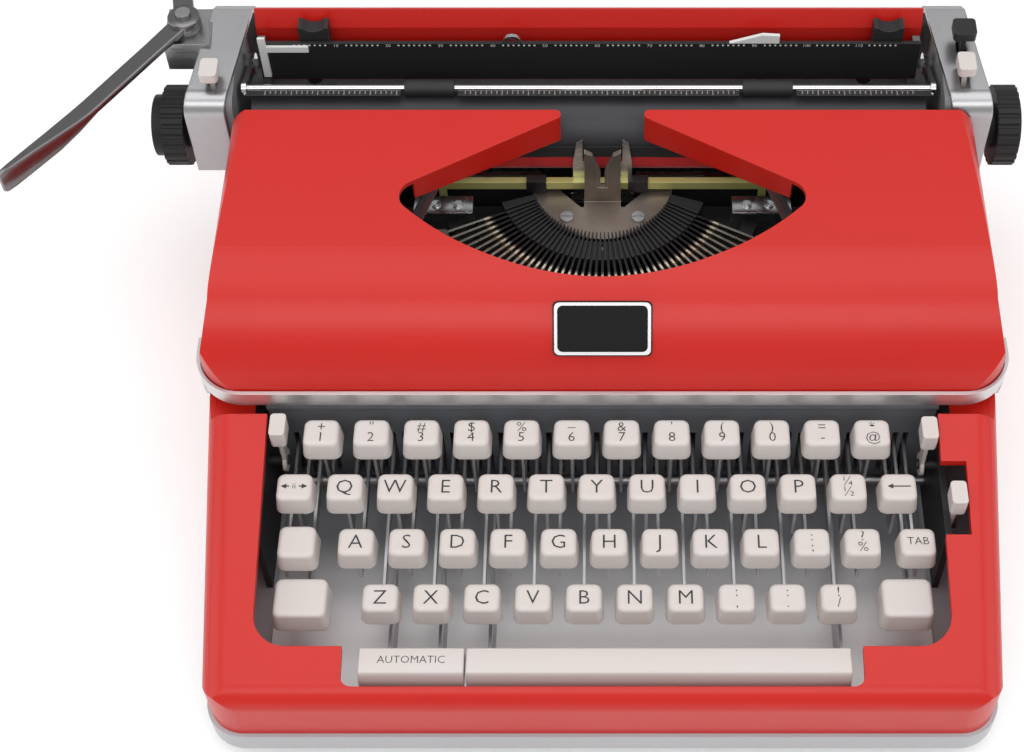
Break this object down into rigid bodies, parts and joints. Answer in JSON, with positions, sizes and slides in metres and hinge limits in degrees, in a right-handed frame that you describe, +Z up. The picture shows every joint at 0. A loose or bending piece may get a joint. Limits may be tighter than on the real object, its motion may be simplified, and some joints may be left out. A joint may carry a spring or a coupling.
{
  "type": "manual typewriter",
  "caption": "Portable manual typewriter with a red case, white keys, chrome trim, a type basket under a hinged ribbon cover and a sliding carriage with platen, knobs and return lever.",
  "frame": {"origin": "on the desk plane, on the case's centre line, about midway between the front and rear rows of feet", "axes": "+X to the typist's right, +Y to the rear, +Z up"},
  "size_m": [0.3947, 0.28, 0.133],
  "materials": {
    "red_paint": "satin",
    "base_grey": "satin",
    "rubber": "matte",
    "bright_trim": "polished",
    "black_plastic": "satin",
    "white_plastic": "satin",
    "steel": "satin",
    "dark_steel": "matte",
    "white_sheet": "satin",
    "silver_paint": "satin",
    "nickel": "satin",
    "yellow_zinc": "satin",
    "ribbon_cloth": "matte"
  },
  "bodies": {
    "chassis": {"base_pan": "base_grey", "rubber_feet": "rubber", "body_shell": "red_paint", "chassis_frame": "dark_steel", "key_well_floor": "white_sheet", "comb_plate": "dark_steel", "fulcrum_rod": "steel", "segment": "dark_steel", "typebars": "steel", "type_guide": "nickel", "guide_rail": "yellow_zinc", "carriage_rail": "steel", "ribbon": "ribbon_cloth", "bell": "steel", "screws": "steel"},
    "number_row": {"number_row_keys": "white_plastic", "number_row_levers": "steel"},
    "top_row": {"top_row_keys": "white_plastic", "top_row_levers": "steel"},
    "home_row": {"home_row_keys": "white_plastic", "home_row_levers": "steel"},
    "bottom_row": {"bottom_row_keys": "white_plastic", "bottom_row_levers": "steel"},
    "margin_release": {"margin_release_key": "white_plastic"},
    "backspace": {"backspace_key": "white_plastic"},
    "shift_lock": {"shift_lock_key": "white_plastic"},
    "tab": {"tab_key": "white_plastic"},
    "shift": {"left_shift_key": "white_plastic", "right_shift_key": "white_plastic"},
    "space": {"space_bar": "white_plastic"},
    "automatic": {"automatic_key": "white_plastic"},
    "ribbon_selector": {"ribbon_selector": "white_plastic"},
    "touch_selector": {"touch_selector": "white_plastic"},
    "tab_set": {"tab_set_lever": "white_plastic"},
    "cover": {"ribbon_cover": "red_paint", "cover_trim": "bright_trim", "badge_plate": "black_plastic"},
    "truck": {"carriage_truck": "steel"},
    "drum": {"mainspring_drum": "yellow_zinc"},
    "escapement": {"escapement_wheel": "yellow_zinc"},
    "carriage": {"carriage_frame": "dark_steel", "left_end_cover": "silver_paint", "right_end_cover": "silver_paint", "paper_table": "red_paint", "paper_scale": "black_plastic"},
    "roller": {"platen": "rubber", "left_knob": "black_plastic", "right_knob": "black_plastic"},
    "bail": {"paper_bail": "bright_trim"},
    "bail_rollers": {"bail_rollers": "rubber"},
    "left_stop": {"left_margin_stop": "black_plastic"},
    "right_stop": {"right_margin_stop": "black_plastic"},
    "return_lever": {"return_lever": "steel"},
    "line_space": {"line_space_lever": "white_plastic"},
    "paper_release": {"paper_release_lever": "black_plastic"},
    "carriage_release": {"carriage_release_lever": "white_plastic"},
    "left_spool": {"left_spool": "steel"},
    "right_spool": {"right_spool": "steel"},
    "vibrator": {"ribbon_vibrator": "steel"},
    "striker": {"striking_typebar": "steel"}
  },
  "joints": [
    {"name": "number_row_press", "type": "hinge", "parent": "chassis", "child": "number_row", "pos_m": [0, 0.066, 0.034], "axis": [1, 0, 0], "range_deg": [0, 3.5], "stiffness_Nm_per_rad": 2, "springref_deg": -14.32},
    {"name": "top_row_press", "type": "hinge", "parent": "chassis", "child": "top_row", "pos_m": [0, 0.066, 0.034], "axis": [1, 0, 0], "range_deg": [0, 3.5], "stiffness_Nm_per_rad": 2, "springref_deg": -14.32},
    {"name": "home_row_press", "type": "hinge", "parent": "chassis", "child": "home_row", "pos_m": [0, 0.066, 0.034], "axis": [1, 0, 0], "range_deg": [0, 3.5], "stiffness_Nm_per_rad": 2, "springref_deg": -14.32},
    {"name": "bottom_row_press", "type": "hinge", "parent": "chassis", "child": "bottom_row", "pos_m": [0, 0.066, 0.034], "axis": [1, 0, 0], "range_deg": [0, 3.5], "stiffness_Nm_per_rad": 2, "springref_deg": -14.32},
    {"name": "margin_release_press", "type": "hinge", "parent": "chassis", "child": "margin_release", "pos_m": [0, 0.066, 0.034], "axis": [1, 0, 0], "range_deg": [0, 3.5], "stiffness_Nm_per_rad": 0.2, "springref_deg": -17.19},
    {"name": "backspace_press", "type": "hinge", "parent": "chassis", "child": "backspace", "pos_m": [0, 0.066, 0.034], "axis": [1, 0, 0], "range_deg": [0, 3.5], "stiffness_Nm_per_rad": 0.2, "springref_deg": -17.19},
    {"name": "shift_lock_press", "type": "hinge", "parent": "chassis", "child": "shift_lock", "pos_m": [0, 0.066, 0.034], "axis": [1, 0, 0], "range_deg": [0, 3], "stiffness_Nm_per_rad": 0.2, "springref_deg": -17.19},
    {"name": "tab_press", "type": "hinge", "parent": "chassis", "child": "tab", "pos_m": [0, 0.066, 0.034], "axis": [1, 0, 0], "range_deg": [0, 3], "stiffness_Nm_per_rad": 0.2, "springref_deg": -17.19},
    {"name": "shift_press", "type": "hinge", "parent": "chassis", "child": "shift", "pos_m": [0, 0.066, 0.034], "axis": [1, 0, 0], "range_deg": [0, 5.2]},
    {"name": "space_press", "type": "hinge", "parent": "chassis", "child": "space", "pos_m": [0, -0.03, 0.016], "axis": [1, 0, 0], "range_deg": [0, 3.6], "stiffness_Nm_per_rad": 0.4, "springref_deg": -17.19},
    {"name": "automatic_press", "type": "hinge", "parent": "chassis", "child": "automatic", "pos_m": [0, -0.03, 0.016], "axis": [1, 0, 0], "range_deg": [0, 3.6], "stiffness_Nm_per_rad": 0.3, "springref_deg": -17.19},
    {"name": "ribbon_selector_turn", "type": "hinge", "parent": "chassis", "child": "ribbon_selector", "pos_m": [-0.1235, -0.038, 0.044], "axis": [1, 0, 0], "range_deg": [0, 12]},
    {"name": "touch_selector_turn", "type": "hinge", "parent": "chassis", "child": "touch_selector", "pos_m": [0.124, -0.04, 0.044], "axis": [1, 0, 0], "range_deg": [0, 12]},
    {"name": "tab_set_turn", "type": "hinge", "parent": "chassis", "child": "tab_set", "pos_m": [0.13335, -0.062, 0.036], "axis": [1, 0, 0], "range_deg": [0, 8], "stiffness_Nm_per_rad": 0.02, "springref_deg": -11.46},
    {"name": "cover_open", "type": "hinge", "parent": "chassis", "child": "cover", "pos_m": [0, -0.023, 0.072], "axis": [1, 0, 0], "range_deg": [0, 65]},
    {"name": "carriage_travel", "type": "slide", "parent": "chassis", "child": "truck", "axis": [1, 0, 0], "range_m": [-0.1, 0.11]},
    {"name": "carriage_lift", "type": "slide", "parent": "truck", "child": "carriage", "axis": [0, 0, 1], "range_m": [0, 0.006]},
    {"name": "drum_turn", "type": "hinge", "parent": "chassis", "child": "drum", "pos_m": [-0.095, 0.1105, 0.038], "axis": [0, 0, 1], "continuous": true},
    {"name": "escapement_turn", "type": "hinge", "parent": "chassis", "child": "escapement", "pos_m": [0, 0.094, 0.0556], "axis": [0, 1, 0], "continuous": true},
    {"name": "platen_turn", "type": "hinge", "parent": "carriage", "child": "roller", "pos_m": [-0.0056, 0.095, 0.091], "axis": [1, 0, 0], "continuous": true},
    {"name": "bail_lift", "type": "hinge", "parent": "carriage", "child": "bail", "pos_m": [-0.0056, 0.118, 0.103], "axis": [-1, 0, 0], "range_deg": [0, 32]},
    {"name": "bail_roller_spin", "type": "hinge", "parent": "bail", "child": "bail_rollers", "pos_m": [-0.0056, 0.0967, 0.1107], "axis": [1, 0, 0], "continuous": true},
    {"name": "left_margin_slide", "type": "slide", "parent": "carriage", "child": "left_stop", "axis": [1, 0, 0], "range_m": [-0.012, 0.09]},
    {"name": "right_margin_slide", "type": "slide", "parent": "carriage", "child": "right_stop", "axis": [1, 0, 0], "range_m": [-0.09, 0.004]},
    {"name": "return_swing", "type": "hinge", "parent": "carriage", "child": "return_lever", "pos_m": [-0.1681, 0.118, 0.124], "axis": [0, 0, 1], "range_deg": [0, 30], "stiffness_Nm_per_rad": 0.1, "springref_deg": -17.19},
    {"name": "line_space_turn", "type": "hinge", "parent": "carriage", "child": "line_space", "pos_m": [-0.1551, 0.094, 0.104], "axis": [1, 0, 0], "range_deg": [0, 8]},
    {"name": "carriage_release_turn", "type": "hinge", "parent": "carriage", "child": "carriage_release", "pos_m": [0.1439, 0.0955, 0.104], "axis": [1, 0, 0], "range_deg": [0, 8], "stiffness_Nm_per_rad": 0.02, "springref_deg": -11.46},
    {"name": "paper_release_turn", "type": "hinge", "parent": "carriage", "child": "paper_release", "pos_m": [0.1439, 0.1085, 0.104], "axis": [1, 0, 0], "range_deg": [0, 6]},
    {"name": "left_spool_spin", "type": "hinge", "parent": "chassis", "child": "left_spool", "pos_m": [-0.095, 0.025, 0.09], "axis": [0, 0, 1], "continuous": true},
    {"name": "right_spool_spin", "type": "hinge", "parent": "chassis", "child": "right_spool", "pos_m": [0.095, 0.025, 0.09], "axis": [0, 0, 1], "continuous": true},
    {"name": "vibrator_lift", "type": "slide", "parent": "chassis", "child": "vibrator", "axis": [0, 0, 1], "range_m": [0, 0.008]},
    {"name": "striker_swing", "type": "hinge", "parent": "chassis", "child": "striker", "pos_m": [0, 0.04, 0.077], "axis": [-1, 0, 0], "range_deg": [0, 158.4]}
  ],
  "couplings": [
    {"joint": "shift_press", "follows": "carriage_lift", "rad_per_m": 14.5},
    {"joint": "drum_turn", "follows": "carriage_travel", "rad_per_m": 50},
    {"joint": "escapement_turn", "follows": "carriage_travel", "rad_per_m": 83.333},
    {"joint": "right_spool_spin", "follows": "left_spool_spin", "ratio": 1},
    {"joint": "vibrator_lift", "follows": "home_row_press", "m_per_rad": 0.13},
    {"joint": "striker_swing", "follows": "home_row_press", "ratio": 45.14}
  ]
}
